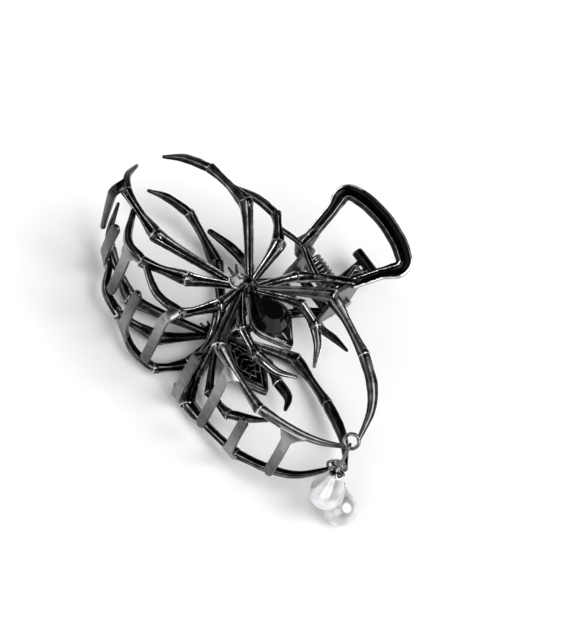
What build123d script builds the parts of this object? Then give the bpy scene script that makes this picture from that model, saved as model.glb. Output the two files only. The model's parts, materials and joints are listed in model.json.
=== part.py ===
from build123d import *
import os
from math import acos, asin, cos, degrees, pi, radians, sin, sqrt, tan

os.makedirs("parts", exist_ok=True)

# Driving sizes of the closed clip, in millimetres
half_length = 50.0        # from the middle of the hinge to the claw tips, along the clip
jaw_drop = 55.0           # from the hinge down to the row of teeth
jaw_depth = 18.0          # from the middle plane out to the knees
limb_radius = 1.25        # a leg's plain stretch
knee_radius = 2.1         # the knuckles that the clip lies on
neck_share = 0.82         # a bone's end beside its knuckle, as a share of the knuckle
bend_share = 1.04         # the ball in a claw's bend, as a share of the claw there

# Spider bodies
thorax_radius = 3.3
thorn_radius = 0.45
setting_rim = 0.7         # metal around a stone
setting_depth = 1.5
stone_gap = 0.05          # all round a stone in its setting
head_stone_radius = 1.9
head_stone_height = 2.2
pear_radius = 4.9         # round end of the abdomen stone
pear_tip_radius = 1.1     # pointed end of the abdomen stone
pear_length = 14.0
pear_height = 5.0
girdle_share = 0.3        # depth of a stone below its girdle
table_share = 0.55        # table of a stone against its girdle
tail_length = 9.8         # pointed tail of the bezel, from the middle of the round end

# Teeth
tooth_width = 3.0
tooth_thickness = 1.3
tooth_shoulder = 2.2      # radius where a tooth turns down from its rail

# Hinge
pin_radius = 1.1
pin_head_radius = 1.9
pin_head_length = 0.8
pin_clearance = 0.05      # radial, in all four ears
ear_thickness = 1.2
ear_radius = 2.7          # metal around the pin
ear_gap = 0.35            # between neighbouring ears, and under the pin's heads
rear_ear_spacing = 15.2   # between the middles of the rear ears
ear_height = 10.4         # from the pin out to the struts
ear_foot_radius = 1.2
ear_back = -4.5           # upper corners of an ear, from the pin along the jaw
ear_front = 2.6
pin_head_gap = 0.2

# Torsion spring
wire_radius = 0.5
coil_clearance = 0.9      # between the pin and the coil
coil_turns = 8
coil_pitch = 1.3
spring_foot = 4.6         # from the pin to the arms' feet, toward the handles
spring_gap = 0.3          # between a foot and what it presses on

# Loop handle
handle_half_width = 14.6
handle_reach = 18.2
handle_root_out = 0.6     # height of the loop's roots, as a share of the jaw's depth
handle_band = 4.8         # width of the channel
handle_thickness = 1.8
handle_groove = 0.8       # depth of the channel
handle_rim = 0.8          # flange on each side of the channel
handle_flare = 15.0       # degrees that the loop leans outward

# Rear lever
lever_reach = 20.0
lever_drop = 13.0         # from the middle plane to the end bar
lever_half_bar = 5.0
lever_bar_radius = 1.6
lever_arm_radius = 0.85
lever_stem_radius = 1.5
lever_fork_share = 0.52   # place of the fork along the lever

# Drops
eyelet_radius = 2.0       # to the middle of the wire
eyelet_wire = 0.5
link_length = 8.0
link_width = 3.8
link_wire = 0.42
cap_loop_radius = 1.1
cap_loop_wire = 0.38
link_gap = 0.2            # between wires that hook into each other
cap_neck = 0.8
pearl_radius = 4.8
pearl_top_radius = 2.6
pearl_length = 12.8
cap_wall = 0.5
cap_gap = 0.05
cap_cover = 58.0          # degrees of the pearl's top under the cap

mid_height = jaw_depth + knee_radius
front_ear_spacing = rear_ear_spacing + 2 * (ear_thickness + ear_gap)
front = 1
rear = -1

# The body of a spider.
# Columns: along (half lengths), down (jaw drops), out (jaw depths)
thorax_place = (-0.08, 0.515, 0.85)
head_place = (-0.122, 0.545, 0.89)
abdomen_place = (0.145, 0.515, 0.79)
thorn_places = ((-0.208, 0.55, 0.95), (-0.2, 0.51, 0.96))
eyelet_places = {front: (0.93, 0.522, 0.567), rear: (0.916, 0.469, 0.567)}
eyelet_lean = (0.25, 0.44, 0.86)
eyelet_legs = ("long_rail_leg", "upper_right_leg")

# How the drops lie.
# Columns: toward plus X, toward plus Y, up
front_drop_way = (0.233, -0.337, -0.912)
rear_hook_way = (-0.75, -0.6, 0.09)
rear_link_way = (0.245, 0.177, -0.953)
rear_pearl_heading = (0.88, -0.475, 0.0)

# One half of the loop handle, from its root to the middle of its end bar.
# Columns: across (handle half widths), reach (handle reaches), width (bands), bend (mm)
handle_route = (
    (0.61, 0.0, 0.7, 0.0),
    (0.765, 0.44, 0.72, 9.0),
    (0.965, 0.81, 0.95, 2.9),
    (0.52, 0.95, 1.0, 16.0),
    (0.0, 1.0, 1.0, 24.0),
)

# Limbs of a spider, each a row of stations from its root to its tip.
# Columns: along (half lengths), down (jaw drops), out (jaw depths),
# thick (limb radii), knuckle (1 where a raised knuckle stands, 0 in a bend)
limbs = {
    "upper_far_leg": (
        (-0.09, 0.49, 0.86, 0.8, 0),
        (-0.465, 0.27, 1.0, 1.68, 1),
        (-0.765, 0.262, 0.745, 1.25, 1),
        (-0.9, 0.325, 0.64, 0.95, 0),
        (-0.98, 0.4, 0.55, 0.4, 0),
    ),
    "upper_near_leg": (
        (-0.09, 0.46, 0.86, 0.75, 0),
        (-0.175, 0.268, 1.0, 1.68, 1),
        (-0.34, 0.155, 0.89, 1.25, 1),
        (-0.48, 0.175, 0.83, 0.95, 0),
        (-0.62, 0.228, 0.755, 0.4, 0),
    ),
    "outer_rail_leg": (
        (-0.13, 0.565, 0.86, 0.8, 0),
        (-0.555, 0.765, 1.0, 1.68, 1),
        (-0.88, 0.712, 0.75, 1.3, 1),
        (-0.97, 0.645, 0.665, 0.8, 0),
        (-1.01, 0.55, 0.555, 0.4, 0),
    ),
    "middle_rail_leg": (
        (-0.13, 0.59, 0.86, 0.8, 0),
        (-0.26, 0.77, 1.0, 1.68, 1),
        (-0.475, 0.89, 0.89, 1.35, 1),
        (-0.63, 0.878, 0.815, 1.0, 0),
        (-0.76, 0.762, 0.835, 0.7, 0),
    ),
    "inner_rail_leg": (
        (-0.085, 0.57, 0.86, 0.8, 0),
        (-0.05, 0.72, 1.0, 1.68, 1),
        (-0.12, 0.9, 0.945, 1.25, 1),
        (-0.28, 0.94, 0.92, 0.95, 0),
        (-0.46, 0.893, 0.89, 0.7, 0),
    ),
    "long_rail_leg": (
        (-0.06, 0.575, 0.86, 0.85, 0),
        (0.14, 0.848, 1.0, 1.68, 1),
        (0.53, 0.86, 0.845, 1.35, 1),
        (0.71, 0.772, 0.725, 1.0, 0),
        (0.84, 0.68, 0.65, 0.8, 0),
        (0.93, 0.56, 0.51, 0.5, 0),
    ),
    "upper_right_leg": (
        (-0.04, 0.48, 0.86, 0.8, 0),
        (0.22, 0.205, 1.0, 1.68, 1),
        (0.57, 0.23, 0.865, 1.35, 1),
        (0.735, 0.28, 0.78, 1.25, 0),
        (0.85, 0.355, 0.67, 0.95, 0),
        (0.945, 0.49, 0.6, 0.5, 0),
    ),
    "high_claw": (
        (-0.03, 0.5, 0.86, 0.7, 0),
        (0.16, 0.34, 0.86, 1.2, 1),
        (0.285, 0.33, 0.75, 1.3, 1),
        (0.38, 0.36, 0.64, 0.95, 0),
        (0.465, 0.43, 0.52, 0.4, 0),
    ),
    "low_claw": (
        (-0.05, 0.57, 0.86, 0.7, 0),
        (0.105, 0.672, 0.86, 1.2, 1),
        (0.25, 0.675, 0.72, 1.3, 1),
        (0.38, 0.63, 0.61, 0.85, 0),
        (0.465, 0.545, 0.52, 0.4, 0),
    ),
    "knee_claw": (
        (-0.05, 0.72, 1.0, 1.0, 0),
        (0.055, 0.82, 0.81, 0.85, 0),
        (0.09, 0.9, 0.7, 0.4, 0),
    ),
    "hinge_strut": (
        (-0.05, 0.49, 0.86, 0.85, 0),
        (-0.005, 0.25, 0.695, 1.25, 1),
        (0.06, 0.125, 0.585, 1.1, 0),
        (0.178, 0.0, 0.6, 1.2, 0),
    ),
    "side_strut": (
        (-0.275, 0.195, 0.925, 0.7, 0),
        (-0.15, 0.1, 0.63, 0.7, 0),
        (-0.045, 0.11, 0.56, 0.75, 0),
        (0.05, 0.135, 0.595, 0.75, 0),
    ),
    "ear_strut": (
        (-0.15, 0.1, 0.63, 0.95, 0),
        (-0.178, 0.0, 0.6, 1.2, 0),
    ),
}

# Limbs of the rear spider that lie otherwise, and a claw that it has alone.
# Columns: as in the table above
rear_limbs = {
    **limbs,
    "outer_rail_leg": (
        (-0.13, 0.565, 0.86, 0.8, 0),
        (-0.535, 0.77, 1.0, 1.68, 1),
        (-0.81, 0.735, 0.75, 1.3, 1),
        (-0.9, 0.69, 0.665, 0.8, 0),
        (-1.0, 0.58, 0.555, 0.4, 0),
    ),
    "long_rail_leg": (
        (-0.06, 0.575, 0.86, 0.85, 0),
        (0.14, 0.86, 1.0, 1.68, 1),
        (0.53, 0.84, 0.845, 1.35, 1),
        (0.705, 0.768, 0.725, 1.0, 0),
        (0.83, 0.67, 0.65, 0.8, 0),
        (0.916, 0.507, 0.51, 0.5, 0),
    ),
    "upper_right_leg": (
        (-0.04, 0.48, 0.86, 0.8, 0),
        (0.234, 0.242, 1.0, 1.68, 1),
        (0.546, 0.268, 0.865, 1.35, 1),
        (0.696, 0.305, 0.78, 1.25, 0),
        (0.817, 0.36, 0.67, 0.95, 0),
        (0.931, 0.437, 0.6, 0.5, 0),
    ),
    "high_claw": (
        (-0.03, 0.5, 0.86, 0.7, 0),
        (0.19, 0.4, 0.86, 1.2, 1),
        (0.32, 0.44, 0.72, 1.3, 1),
        (0.43, 0.455, 0.66, 0.95, 0),
        (0.49, 0.52, 0.58, 0.45, 0),
    ),
    "low_claw": (
        (-0.05, 0.57, 0.86, 0.7, 0),
        (0.16, 0.75, 0.86, 1.2, 1),
        (0.33, 0.765, 0.72, 1.3, 1),
        (0.43, 0.7, 0.61, 0.85, 0),
        (0.495, 0.645, 0.52, 0.4, 0),
    ),
    "hinge_claw": (
        (0.12, 0.065, 0.592, 0.95, 0),
        (0.19, 0.078, 0.64, 0.9, 0),
        (0.28, 0.05, 0.66, 0.85, 0),
        (0.373, 0.038, 0.64, 0.4, 0),
    ),
}

# Teeth of each jaw.
# Columns: along (half lengths), down (jaw drops), root_down (jaw drops),
# root_out and tip_out (jaw depths)
front_teeth = (
    (-0.93, 0.77, 0.685, 0.725, -0.46),
    (-0.57, 0.925, 0.885, 0.845, -0.45),
    (-0.14, 1.0, 0.905, 0.945, -0.45),
    (0.305, 0.925, 0.855, 0.935, -0.72),
    (0.74, 0.805, 0.76, 0.71, -0.6),
)
rear_teeth = (
    (-0.8, 0.785, 0.75, 0.8, -0.22),
    (-0.4, 0.925, 0.91, 0.9, -0.34),
    (0.085, 0.905, 0.85, 0.985, -0.55),
    (0.505, 0.87, 0.835, 0.86, -0.3),
)


def at(place, side):
    """A point of a jaw from its three shares."""
    along, down, out = place[:3]
    return Vector(along * half_length, -down * jaw_drop, mid_height + side * out * jaw_depth)


def bone(start, end, start_radius, end_radius):
    """A round bar that tapers from one point to another."""
    axis = end - start
    if abs(start_radius - end_radius) < 0.001:
        bar = Cylinder(start_radius, axis.length, align=(Align.CENTER, Align.CENTER, Align.MIN))
    else:
        bar = Cone(start_radius, end_radius, axis.length, align=(Align.CENTER, Align.CENTER, Align.MIN))
    return Plane(origin=start, z_dir=axis) * bar


def ball(centre, radius, axis=(0, 0, 1)):
    """A ball at a point, with its poles on an axis."""
    return Plane(origin=centre, z_dir=axis) * Sphere(radius)


def joined(pieces):
    """One solid from pieces that overlap."""
    return pieces[0].fuse(*pieces[1:])


def limb(stations, side, holds_eyelet):
    """The bars, knuckles and bends of one leg, claw or strut."""
    pieces = []
    places = [at(row, side) for row in stations]
    ways = [(after - before).normalized() for before, after in zip(places, places[1:])]
    for i, row in enumerate(stations):
        radius = row[3] * limb_radius * (1 if row[4] else bend_share)
        poles = ways[max(i - 1, 0)] + ways[min(i, len(ways) - 1)]
        if holds_eyelet and i == len(ways):
            poles = eyelet_normal(side) - ways[-1] * eyelet_normal(side).dot(ways[-1])
        pieces.append(ball(places[i], radius, poles))
    for i in range(len(ways)):
        radii = [row[3] * limb_radius * (neck_share if row[4] else 1) for row in stations[i:i + 2]]
        pieces.append(bone(places[i], places[i + 1], *radii))
    return pieces


def tooth(row, side):
    """A flat tooth that leaves its rail, turns over a shoulder and crosses the middle plane."""
    along, down, root_down, root_out, tip_out = row
    root = (-root_down * jaw_drop, mid_height + side * root_out * jaw_depth)
    shoulder = (-down * jaw_drop, root[1])
    tip = (-down * jaw_drop, mid_height + side * tip_out * jaw_depth)
    reach = abs(shoulder[0] - root[0])
    if reach > tooth_thickness:
        route = FilletPolyline(root, shoulder, tip, radius=min(tooth_shoulder, 0.8 * reach))
    else:
        route = Line(shoulder, tip)
    strip = trace(route, line_width=tooth_thickness)
    blade = extrude(Plane.YZ * strip, amount=tooth_width / 2, both=True)
    blade = Pos(along * half_length, 0, 0) * blade
    corners = blade.edges().filter_by(Axis.Y).group_by(Axis.Z)[0 if side == front else -1]
    return fillet(corners, 0.45 * tooth_width)


def pear_outline(big_radius, small_radius, spacing, count):
    """Corner points of a pear: an arc round the origin and a small one toward minus X."""
    lean = asin((big_radius - small_radius) / spacing)
    turn = pi / 2 + lean
    points = []
    for i in range(count):
        angle = turn * (2 * i / (count - 1) - 1)
        points.append((big_radius * cos(angle), big_radius * sin(angle)))
    for angle in (turn, pi, -turn):
        points.append((small_radius * cos(angle) - spacing, small_radius * sin(angle)))
    return points


def round_outline(radius, count):
    """Corner points of a regular polygon."""
    return [(radius * cos(2 * pi * i / count), radius * sin(2 * pi * i / count)) for i in range(count)]


def cut_stone(outline, height):
    """A faceted stone: flat base, girdle, slanting crown facets and a table."""
    middle = (sum(x for x, _ in outline) / len(outline), sum(y for _, y in outline) / len(outline))
    levels = (
        (0.0, 0.8),
        (girdle_share * height, 1.0),
        (height, table_share),
    )
    rings = []
    for z, share in levels:
        rings.append([
            Vector(middle[0] + share * (x - middle[0]), middle[1] + share * (y - middle[1]), z)
            for x, y in outline
        ])
    faces = [
        Face(Wire.make_polygon(rings[0], close=True)),
        Face(Wire.make_polygon(rings[-1], close=True)),
    ]
    for low, high in zip(rings, rings[1:]):
        for i in range(len(low)):
            j = (i + 1) % len(low)
            faces.append(Face(Wire.make_polygon([low[i], low[j], high[j], high[i]], close=True)))
    return Solid(Shell(faces))


def seat(place, side):
    """The plane on which a stone sits, facing away from the middle plane."""
    return Plane(origin=at(place, side), x_dir=(1, 0, 0), z_dir=(0, 0, side))


def head_stone(side):
    """The round clear stone on the head."""
    return seat(head_place, side) * cut_stone(round_outline(head_stone_radius, 12), head_stone_height)


def abdomen_stone(side):
    """The black pear-shaped stone on the abdomen."""
    spacing = pear_length - pear_radius - pear_tip_radius
    outline = pear_outline(pear_radius, pear_tip_radius, spacing, 9)
    return seat(abdomen_place, side) * cut_stone(outline, pear_height)


def head_setting(side):
    """The cup round the head stone."""
    depth = girdle_share * head_stone_height
    inner = head_stone_radius + stone_gap
    cup = Pos(0, 0, -setting_depth) * Cylinder(inner + setting_rim, setting_depth + depth,
                                               align=(Align.CENTER, Align.CENTER, Align.MIN))
    pocket = Pos(0, 0, -stone_gap) * Cylinder(inner, head_stone_height + 2 * stone_gap,
                                              align=(Align.CENTER, Align.CENTER, Align.MIN))
    return seat(head_place, side) * cup, seat(head_place, side) * pocket


def abdomen_setting(side):
    """The bezel of the abdomen with its pointed tail."""
    depth = girdle_share * pear_height
    spacing = pear_length - pear_radius - pear_tip_radius
    big = pear_radius + stone_gap
    small = pear_tip_radius + stone_gap
    rim = make_hull((
        Circle(big + setting_rim).edges()
        + (Pos(-spacing, 0) * Circle(small + setting_rim)).edges()
        + (Pos(tail_length - setting_rim, 0) * Circle(setting_rim)).edges()
    ))
    hollow = make_hull((Circle(big).edges() + (Pos(-spacing, 0) * Circle(small)).edges()))
    plate = Pos(0, 0, -setting_depth) * extrude(rim, amount=setting_depth + depth)
    pocket = Pos(0, 0, -stone_gap) * extrude(hollow, amount=pear_height + 2 * stone_gap)
    return seat(abdomen_place, side) * plate, seat(abdomen_place, side) * pocket


def thorns(side):
    """The two short fangs of the head."""
    root = at(head_place, side)
    return [bone(root, at(place, side), thorn_radius * 1.6, thorn_radius) for place in thorn_places]


def ear(middle_x, side):
    """A flat ear from the struts down round the pin, without its bore."""
    feet = [Pos(y, side * ear_height) * Circle(ear_foot_radius).edges()[0] for y in (ear_back, ear_front)]
    outline = make_hull([Circle(ear_radius).edges()[0]] + feet)
    plate = extrude(Plane.YZ * outline, amount=ear_thickness / 2, both=True)
    return Pos(middle_x, 0, mid_height) * plate


def ear_bore(half_span):
    """The bore through both ears of a jaw."""
    return Pos(0, 0, mid_height) * Rot(0, 90, 0) * Cylinder(pin_radius + pin_clearance, 2 * half_span)


def handle_outline(inset):
    """The loop's band seen from above, narrowed by an inset on both edges."""
    half = [(across * handle_half_width, reach * handle_reach, width * handle_band, bend)
            for across, reach, width, bend in handle_route]
    route = [(-x, y, width, bend) for x, y, width, bend in half[:-1]] + half[::-1]
    edges = []
    for turn_side in (1, -1):
        points = []
        radii = []
        for i, (x, y, width, bend) in enumerate(route):
            before = Vector(*route[max(i - 1, 0)][:2])
            here = Vector(x, y)
            after = Vector(*route[min(i + 1, len(route) - 1)][:2])
            into = (here - before).normalized() if i > 0 else (after - here).normalized()
            away = (after - here).normalized() if i < len(route) - 1 else into
            normal = Vector(-(into.Y + away.Y), into.X + away.X).normalized()
            stretch = 1 / max(0.3, Vector(-into.Y, into.X).dot(normal))
            points.append(here + normal * (turn_side * (width / 2 - inset) * stretch))
            radii.append(max(0.4, bend + turn_side * (width / 2 - inset)))
        edges.append(FilletPolyline(*points, radius=radii[1:-1]))
    ends = [Line(edges[0] @ 0, edges[1] @ 0), Line(edges[0] @ 1, edges[1] @ 1)]
    return make_face(edges[0].edges() + edges[1].edges() + [line.edge() for line in ends])


def loop_handle():
    """The wide loop of the front jaw with its channel."""
    root = Plane(origin=(0, 0, mid_height + handle_root_out * jaw_depth), x_dir=(1, 0, 0),
                 z_dir=(0, -sin(radians(handle_flare)), cos(radians(handle_flare))))
    band = extrude(handle_outline(0), amount=handle_thickness / 2, both=True)
    channel = extrude(handle_outline(handle_rim), amount=handle_groove)
    channel = Pos(0, 0, handle_thickness / 2 - handle_groove) * channel
    return root * (band - channel)


def lever():
    """The small forked lever of the rear jaw."""
    height = mid_height - lever_drop
    root = at(limbs["hinge_strut"][-1], rear)
    root.X = 0
    end = Vector(0, lever_reach, height)
    fork = root + (end - root) * lever_fork_share
    bar_end = Vector(lever_half_bar - lever_bar_radius, lever_reach, height)
    arm_end = Vector(bar_end.X - lever_bar_radius, lever_reach, height)
    pieces = [bone(root, fork, lever_stem_radius, lever_arm_radius * 1.3)]
    pieces.append(ball(fork, lever_arm_radius * 1.4, end - root))
    for hand in (1, -1):
        tip = Vector(hand * arm_end.X, arm_end.Y, arm_end.Z)
        pieces.append(bone(fork, tip, lever_arm_radius, lever_arm_radius * 0.9))
        pieces.append(ball(Vector(hand * bar_end.X, bar_end.Y, bar_end.Z), lever_bar_radius, (1, 0, 0)))
    bar_start = Vector(-bar_end.X, bar_end.Y, bar_end.Z)
    pieces.append(bone(bar_start, bar_end, lever_bar_radius, lever_bar_radius))
    reach = rear_ear_spacing / 2
    pieces.append(bone(Vector(-reach, root.Y, root.Z), Vector(reach, root.Y, root.Z),
                       lever_stem_radius * 0.9, lever_stem_radius * 0.9))
    return pieces


def eyelet(side):
    """The wire ring that joins the two leg tips at the drop's end."""
    plane = Plane(origin=at(eyelet_places[side], side), z_dir=eyelet_normal(side))
    return plane * Torus(eyelet_radius, eyelet_wire)


def eyelet_normal(side):
    """The direction through the eyelet."""
    along, down, out = eyelet_lean
    return Vector(along, -down, side * out).normalized()


def jaw(side, shapes, teeth, ear_spacing, extras):
    """One cast half of the clip."""
    thorax = ball(at(thorax_place, side), thorax_radius, (1, 0, 0))
    legs = [joined(limb(stations, side, name in eyelet_legs)) for name, stations in shapes.items()]
    ears = [ear(hand * ear_spacing / 2, side) for hand in (1, -1)]
    cup, cup_pocket = head_setting(side)
    bezel, bezel_pocket = abdomen_setting(side)
    body = joined([thorax] + legs)
    body = joined([body] + [tooth(row, side) for row in teeth] + thorns(side) + [eyelet(side)])
    body = joined([body] + ears + extras)
    body = joined([body, cup, bezel])
    return body.cut(cup_pocket, bezel_pocket, ear_bore(ear_spacing / 2 + ear_thickness))


def hinge_pin():
    """The headed pin through all four ears."""
    reach = (front_ear_spacing + ear_thickness) / 2 + pin_head_gap
    shaft = Cylinder(pin_radius, 2 * reach + pin_head_length)
    heads = [Pos(0, 0, hand * (reach + pin_head_length / 2)) * Cylinder(pin_head_radius, pin_head_length)
             for hand in (1, -1)]
    return Pos(0, 0, mid_height) * Rot(0, 90, 0) * (shaft + heads)


def torsion_spring():
    """The coil round the pin with one bent arm under each jaw."""
    coil_radius = pin_radius + coil_clearance + wire_radius
    flare = radians(handle_flare)
    handle_under = handle_root_out * jaw_depth + spring_foot * tan(flare)
    handle_under -= handle_thickness / 2 / cos(flare)
    rise = (lever_drop - handle_root_out * jaw_depth) * spring_foot / lever_reach
    lever_under = handle_root_out * jaw_depth + rise - lever_stem_radius
    elbows = {front: (spring_foot, handle_under - wire_radius - spring_gap),
              rear: (spring_foot, lever_under - wire_radius - spring_gap)}
    leans = {}
    for side, (y, z) in elbows.items():
        leans[side] = degrees(acos(y / sqrt(y * y + z * z)) + asin(coil_radius / sqrt(y * y + z * z)))
    turns = coil_turns + (leans[front] + leans[rear] - 180) / 360
    height = turns * coil_pitch
    route = Rot(0, 0, 90 - leans[rear]) * Helix(pitch=coil_pitch, height=height, radius=coil_radius)
    coil = sweep(Plane(origin=route @ 0, z_dir=route % 0) * Circle(wire_radius), path=route, is_frenet=True)
    pieces = [coil]
    front_foot = (front_ear_spacing - ear_thickness) / 2 - ear_gap - wire_radius
    for side, start, foot_x in ((rear, route @ 0, 0.0), (front, route @ 1, front_foot)):
        y, z = elbows[side]
        elbow = Vector(y, side * z, start.Z)
        foot = Vector(y, side * z, foot_x + height / 2)
        pieces += [ball(start, wire_radius * 1.03), bone(start, elbow, wire_radius, wire_radius)]
        pieces += [ball(elbow, wire_radius * 1.03), bone(elbow, foot, wire_radius, wire_radius)]
        pieces.append(ball(foot, wire_radius * 1.03))
    axle = Plane(origin=(-height / 2, 0, mid_height), x_dir=(0, 1, 0), z_dir=(1, 0, 0))
    return axle * (Part() + pieces)


def oval_link(start, way, normal):
    """A long oval of wire whose middle line begins at a point."""
    long = link_length - 2 * link_wire
    plane = Plane(origin=start + way * (long / 2), x_dir=way, z_dir=normal)
    route = SlotOverall(long, link_width - 2 * link_wire).wire()
    ring = sweep(Plane(origin=route @ 0, z_dir=route % 0) * Circle(link_wire), path=route)
    return plane * ring


def bead_cap(loop_centre, way, normal):
    """A dome on the pearl's top with a neck and a small loop."""
    top = loop_centre + way * (cap_loop_radius + cap_neck)
    outer = pearl_top_radius + cap_gap + cap_wall
    inner = pearl_top_radius + cap_gap
    edge = pearl_top_radius * (1 - cos(radians(cap_cover)))
    dome = Pos(0, 0, outer) * Sphere(outer) - Pos(0, 0, outer) * Sphere(inner)
    dome = dome & Box(3 * outer, 3 * outer, edge + cap_wall, align=(Align.CENTER, Align.CENTER, Align.MIN))
    dome = Plane(origin=top, z_dir=way) * dome
    neck = bone(loop_centre + way * cap_loop_radius, top + way * (cap_wall / 2), cap_loop_wire * 1.3,
                cap_loop_wire * 2)
    loop = Plane(origin=loop_centre, z_dir=normal) * Torus(cap_loop_radius, cap_loop_wire)
    return Part() + [dome, neck, loop]


def drop_pearl(top, way):
    """A drop-shaped pearl hanging from its narrow end."""
    low = pearl_length - pearl_radius
    lean = asin((pearl_radius - pearl_top_radius) / (low - pearl_top_radius))
    small = (pearl_top_radius * cos(lean), pearl_top_radius * (1 - sin(lean)))
    big = (pearl_radius * cos(lean), low - pearl_radius * sin(lean))
    half = (pi / 2 - lean) / 2
    small_mid = (pearl_top_radius * sin(half), pearl_top_radius * (1 - cos(half)))
    big_mid = (pearl_radius * cos(lean / 2 - pi / 4), low - pearl_radius * sin(lean / 2 - pi / 4))
    outline = [
        ThreePointArc((0, 0), small_mid, small),
        Line(small, big),
        ThreePointArc(big, big_mid, (0, pearl_length)),
        Line((0, pearl_length), (0, 0)),
    ]
    face = Plane.XZ * make_face(outline)
    return Plane(origin=top, z_dir=way) * revolve(face, Axis.Z)


def drop(side, hook_way, link_way, pearl_way):
    """The link, bead cap and pearl that hang from one eyelet."""
    normal = eyelet_normal(side)
    inward = (hook_way - normal * hook_way.dot(normal)).normalized()
    hook = at(eyelet_places[side], side) + inward * eyelet_radius
    tangent = normal.cross(inward)
    flat = (tangent - link_way * tangent.dot(link_way)).normalized()
    start = hook - link_way * (eyelet_wire + link_wire + link_gap)
    end = start + link_way * (link_length - 2 * link_wire)
    across = flat.cross(link_way)
    overlap = link_wire + cap_loop_wire + link_gap
    if pearl_way is None:
        reach = 2 * cap_loop_radius - overlap + cap_neck + cap_wall + cap_gap + pearl_length - pearl_radius
        rise = (pearl_radius - end.Z) / reach
        level = Vector(*rear_pearl_heading).normalized() * sqrt(1 - rise * rise)
        pearl_way = Vector(level.X, level.Y, rise)
    loop_centre = end + pearl_way * (cap_loop_radius - overlap)
    loop_normal = (across - pearl_way * across.dot(pearl_way)).normalized()
    pearl_top = loop_centre + pearl_way * (cap_loop_radius + cap_neck + cap_wall + cap_gap)
    return {
        "link": oval_link(start, link_way, flat),
        "bead_cap": bead_cap(loop_centre, pearl_way, loop_normal),
        "pearl": drop_pearl(pearl_top, pearl_way),
    }


front_extras = [loop_handle()]
rear_extras = lever()
nodes = {
    "front_jaw": jaw(front, limbs, front_teeth, front_ear_spacing, front_extras),
    "rear_jaw": jaw(rear, rear_limbs, rear_teeth, rear_ear_spacing, rear_extras),
    "hinge_pin": hinge_pin(),
    "torsion_spring": torsion_spring(),
    "front_head_stone": head_stone(front),
    "rear_head_stone": head_stone(rear),
    "front_abdomen_stone": abdomen_stone(front),
    "rear_abdomen_stone": abdomen_stone(rear),
}
front_way = Vector(*front_drop_way).normalized()
for name, piece in drop(front, front_way, front_way, front_way).items():
    nodes["front_" + name] = piece
rear_way = Vector(*rear_link_way).normalized()
for name, piece in drop(rear, Vector(*rear_hook_way), rear_way, None).items():
    nodes["rear_" + name] = piece

boxes = [piece.bounding_box() for piece in nodes.values()]
low = [min(getattr(box.min, axis) for box in boxes) for axis in "XYZ"]
high = [max(getattr(box.max, axis) for box in boxes) for axis in "XYZ"]
shift = Vector(-(low[0] + high[0]) / 2, -(low[1] + high[1]) / 2, -low[2])
for name, piece in nodes.items():
    export_step(Pos(*shift) * piece, f"parts/{name}.step")
print("hinge axis at", Vector(0, 0, mid_height) + shift)
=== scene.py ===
import json
from math import asin, atan2, cos, pi, radians, sin, sqrt, tan

import bmesh
import bpy
from mathutils import Matrix, Vector
from mathutils.geometry import convex_hull_2d


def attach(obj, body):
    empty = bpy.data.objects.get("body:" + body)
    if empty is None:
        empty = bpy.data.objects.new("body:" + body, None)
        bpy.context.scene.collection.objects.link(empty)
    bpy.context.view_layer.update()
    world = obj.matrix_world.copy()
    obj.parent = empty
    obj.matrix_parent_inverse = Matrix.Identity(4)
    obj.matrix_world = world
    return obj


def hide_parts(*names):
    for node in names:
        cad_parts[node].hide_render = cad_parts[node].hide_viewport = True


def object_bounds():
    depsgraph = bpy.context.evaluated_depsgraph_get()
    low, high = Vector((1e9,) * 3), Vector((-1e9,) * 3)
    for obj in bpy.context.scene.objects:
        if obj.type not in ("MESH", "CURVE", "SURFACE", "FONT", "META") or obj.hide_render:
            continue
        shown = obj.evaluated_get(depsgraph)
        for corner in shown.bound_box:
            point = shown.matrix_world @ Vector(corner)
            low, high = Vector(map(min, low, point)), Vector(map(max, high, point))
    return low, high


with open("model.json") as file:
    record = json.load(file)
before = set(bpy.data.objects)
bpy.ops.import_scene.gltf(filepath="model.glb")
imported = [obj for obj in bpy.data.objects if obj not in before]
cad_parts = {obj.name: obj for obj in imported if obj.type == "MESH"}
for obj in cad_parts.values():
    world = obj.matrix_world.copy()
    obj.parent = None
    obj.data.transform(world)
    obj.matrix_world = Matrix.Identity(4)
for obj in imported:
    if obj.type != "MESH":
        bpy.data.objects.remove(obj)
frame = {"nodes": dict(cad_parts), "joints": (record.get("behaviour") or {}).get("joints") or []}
cad_box = [list(corner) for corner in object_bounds()]
hinge = Vector(frame["joints"][0]["pos_m"])
mm = 0.001
x_way = Vector((1, 0, 0))

# Driving sizes of the closed clip, in millimetres
half_length = 50.0
jaw_drop = 55.0
jaw_depth = 18.0
limb_radius = 1.25
knee_radius = 2.1
neck_share = 0.82

# Spider bodies
thorax_radius = 3.3
thorax_ribs = 12
thorax_rib_depth = 0.1  # share of its radius
thorn_radii = (0.72, 0.32)
setting_rim = 0.7
setting_depth = 1.5
stone_gap = 0.05
head_stone_radius = 1.9
head_stone_height = 2.2
pear_radius = 4.9
pear_tip_radius = 1.1
pear_length = 14.0
pear_height = 5.0
girdle_share = 0.3
tail_length = 9.8
hollow_inset = 0.7  # how far inside the stone's outline the back opens
hollow_floor = 0.75  # how far its floor lies behind the girdle
scroll_radii = (0.3, 0.26, 0.22, 0.2, 0.26, 0.34)

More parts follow.
